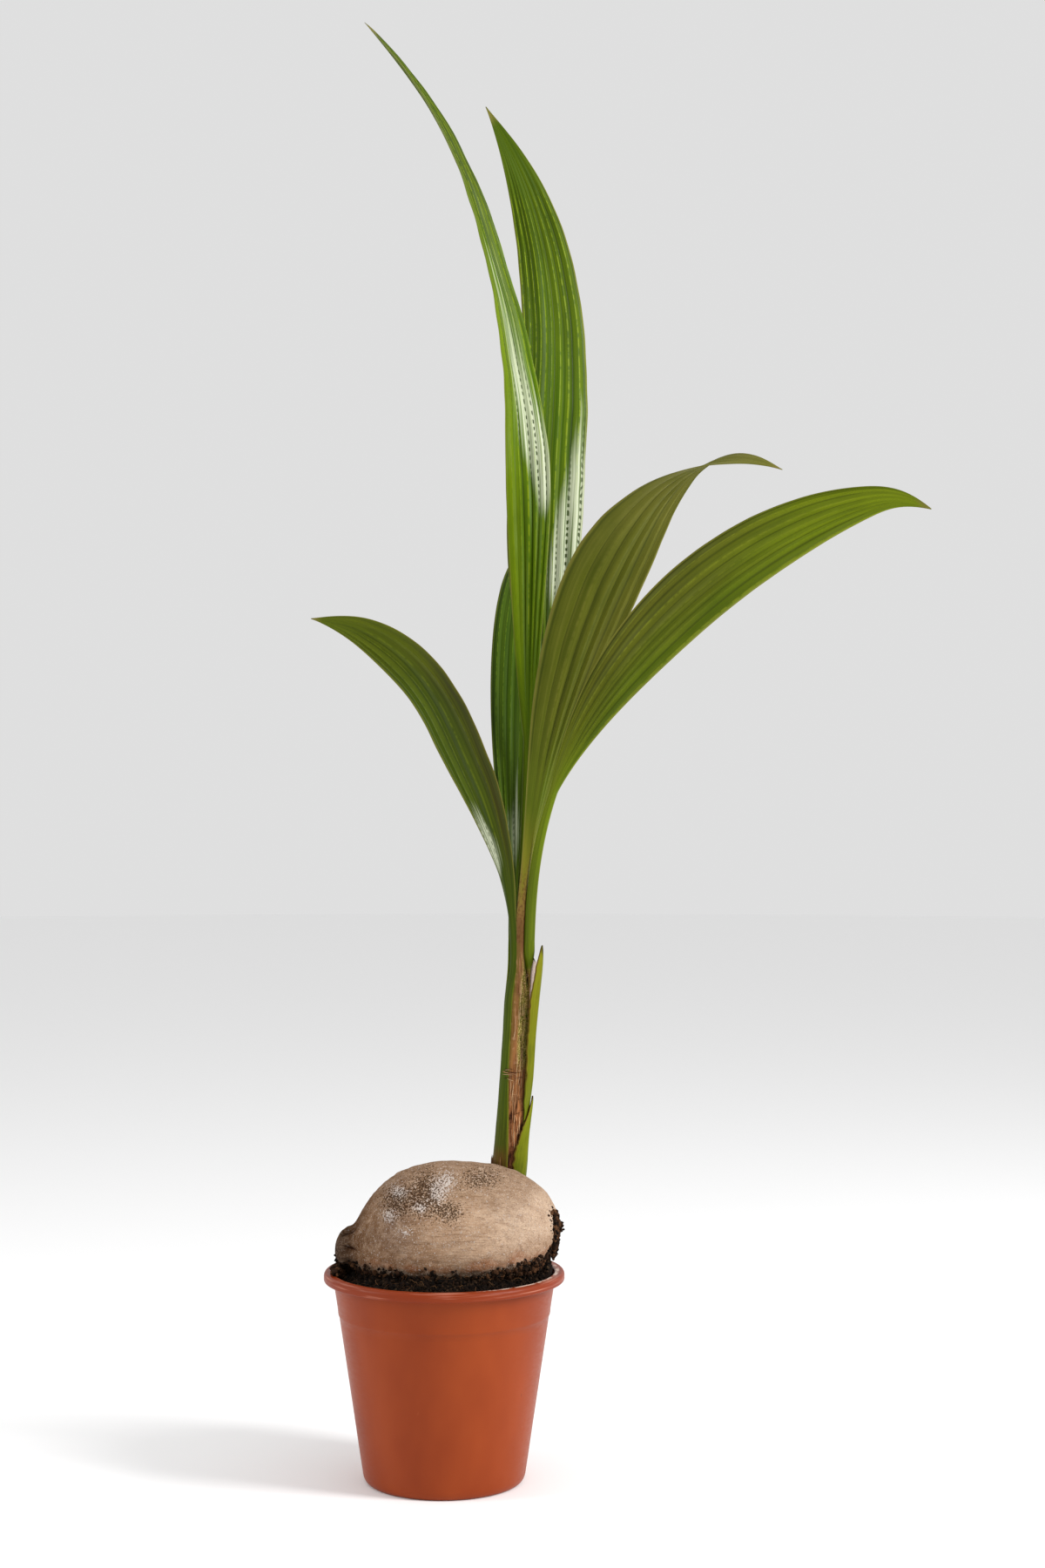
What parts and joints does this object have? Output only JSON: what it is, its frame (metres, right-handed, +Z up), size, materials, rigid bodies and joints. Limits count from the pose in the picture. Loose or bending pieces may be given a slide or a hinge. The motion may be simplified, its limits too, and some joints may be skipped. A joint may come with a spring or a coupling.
{
  "type": "potted coconut palm seedling",
  "caption": "Young coconut palm sprouted from a husked nut, with a slim sheathed stem and long pleated undivided leaves, in a round tapered nursery pot.",
  "frame": {"origin": "centre of the pot's flat underside, on the surface that the pot stands on", "axes": "+Z up, +X to the right of the front view, +Y to the back"},
  "size_m": [0.4822, 0.5407, 1.214],
  "materials": {
    "pot": "terracotta coloured moulded plastic, softly glossy",
    "soil": "dark damp crumbly potting mix",
    "husk": "dry weathered husk skin, matte, with lengthwise fibres",
    "fibre": "dry brown sheath and husk fibre, matte",
    "sheath": "green leaf sheath, satin",
    "scale_leaf": "yellow green scale leaf with a dry brown tip, satin",
    "blade": "green pleated leaf blade, glossy along its folds"
  },
  "bodies": {
    "root": {"pot": "pot", "soil": "soil", "nut": "husk", "collar": "fibre", "stem": "sheath", "sheath_left": "sheath", "sheath_front": "fibre", "sheath_right": "sheath", "sheath_back": "sheath", "scale_leaf_upper": "scale_leaf", "scale_leaf_lower": "scale_leaf", "leaf_left_lower": "blade", "leaf_left_middle": "blade", "leaf_left_upper": "blade", "leaf_right_lower": "blade", "leaf_right_middle": "blade", "leaf_right_upper": "blade", "leaf_front_lower": "blade", "leaf_front_middle": "blade", "leaf_front_upper": "blade", "leaf_centre_lower": "blade", "leaf_centre_middle": "blade", "leaf_centre_upper": "blade", "leaf_back_lower": "blade", "leaf_back_middle": "blade", "leaf_back_upper": "blade", "leaf_back_left_lower": "blade", "leaf_back_left_middle": "blade", "leaf_back_left_upper": "blade"}
  },
  "joints": []
}
